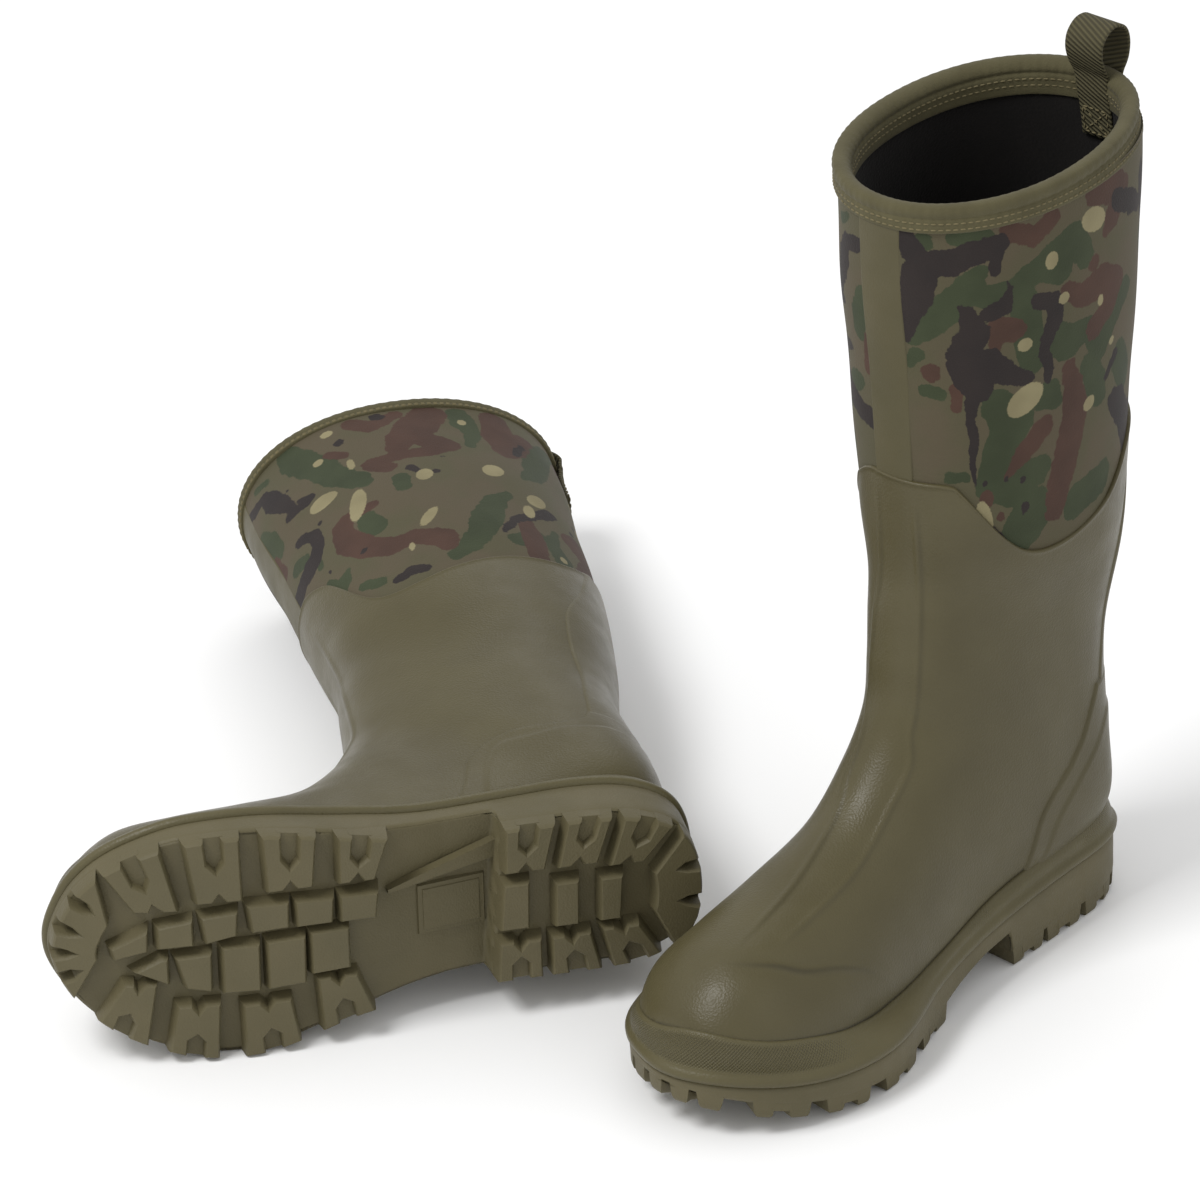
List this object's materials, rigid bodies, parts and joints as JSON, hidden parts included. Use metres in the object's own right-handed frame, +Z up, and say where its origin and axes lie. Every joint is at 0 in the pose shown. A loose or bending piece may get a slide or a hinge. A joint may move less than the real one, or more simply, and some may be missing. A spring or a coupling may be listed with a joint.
{
  "type": "insulated hunting boots",
  "caption": "Pair of tall insulated rubber hunting boots with a camouflage neoprene shaft, cleated outsole, bound rim and webbing pull loops, one standing, one lying.",
  "frame": {"origin": "on the ground under the middle of the pair's bounding box", "axes": "+Z up; the standing right boot's toe points towards -X and -Y, the lying left boot's toe towards -X and its shaft towards +Y"},
  "size_m": [0.5151, 0.564, 0.4435],
  "materials": {
    "sole_rubber": "matt moulded rubber",
    "shell_rubber": "satin moulded rubber",
    "strip_rubber": "matt rubber",
    "camo_fabric": "printed woodland camouflage knit",
    "neoprene": "foamed neoprene",
    "lining_fabric": "dark knitted lining",
    "binding_fabric": "fine twill binding",
    "webbing": "ribbed webbing",
    "foam": "closed-cell foam",
    "shank": "spring steel",
    "board": "pressed fibre board",
    "footbed_foam": "fabric-topped foam"
  },
  "bodies": {
    "right_boot": {"right_outsole": "sole_rubber", "right_midsole": "foam", "right_shank": "shank", "right_rubber_shell": "shell_rubber", "right_foxing_band": "shell_rubber", "right_heel_counter": "shell_rubber", "right_heel_spur": "shell_rubber", "right_back_stay": "shell_rubber", "right_camo_medial": "camo_fabric", "right_camo_lateral": "camo_fabric", "right_front_strip": "strip_rubber", "right_neoprene_sock": "neoprene", "right_lining": "lining_fabric", "right_insole_board": "board", "right_footbed": "footbed_foam", "right_top_binding": "binding_fabric", "right_pull_tab_inside": "webbing", "right_pull_tab_outside": "webbing"},
    "right_pull_loop": {"right_pull_loop": "webbing"},
    "left_boot": {"left_outsole": "sole_rubber", "left_midsole": "foam", "left_shank": "shank", "left_rubber_shell": "shell_rubber", "left_foxing_band": "shell_rubber", "left_heel_counter": "shell_rubber", "left_heel_spur": "shell_rubber", "left_back_stay": "shell_rubber", "left_camo_medial": "camo_fabric", "left_camo_lateral": "camo_fabric", "left_front_strip": "strip_rubber", "left_neoprene_sock": "neoprene", "left_lining": "lining_fabric", "left_insole_board": "board", "left_footbed": "footbed_foam", "left_top_binding": "binding_fabric", "left_pull_tab_inside": "webbing", "left_pull_tab_outside": "webbing"},
    "left_pull_loop": {"left_pull_loop": "webbing"}
  },
  "joints": [
    {"name": "right_loop_hinge", "type": "hinge", "parent": "right_boot", "child": "right_pull_loop", "pos_m": [0.23869, -0.03617, 0.4135], "axis": [0.7408, -0.6717, 0], "range_deg": [-30, 30], "stiffness_Nm_per_rad": 0.02},
    {"name": "left_boot_lift", "type": "slide", "parent": "right_boot", "child": "left_boot", "axis": [0, 0, 1], "range_m": [0, 0.45]},
    {"name": "left_loop_hinge", "type": "hinge", "parent": "left_boot", "child": "left_pull_loop", "pos_m": [-0.02374, 0.25231, 0.05489], "axis": [-0.0089, -0.0089, -0.9999], "range_deg": [-30, 30], "stiffness_Nm_per_rad": 0.02}
  ]
}
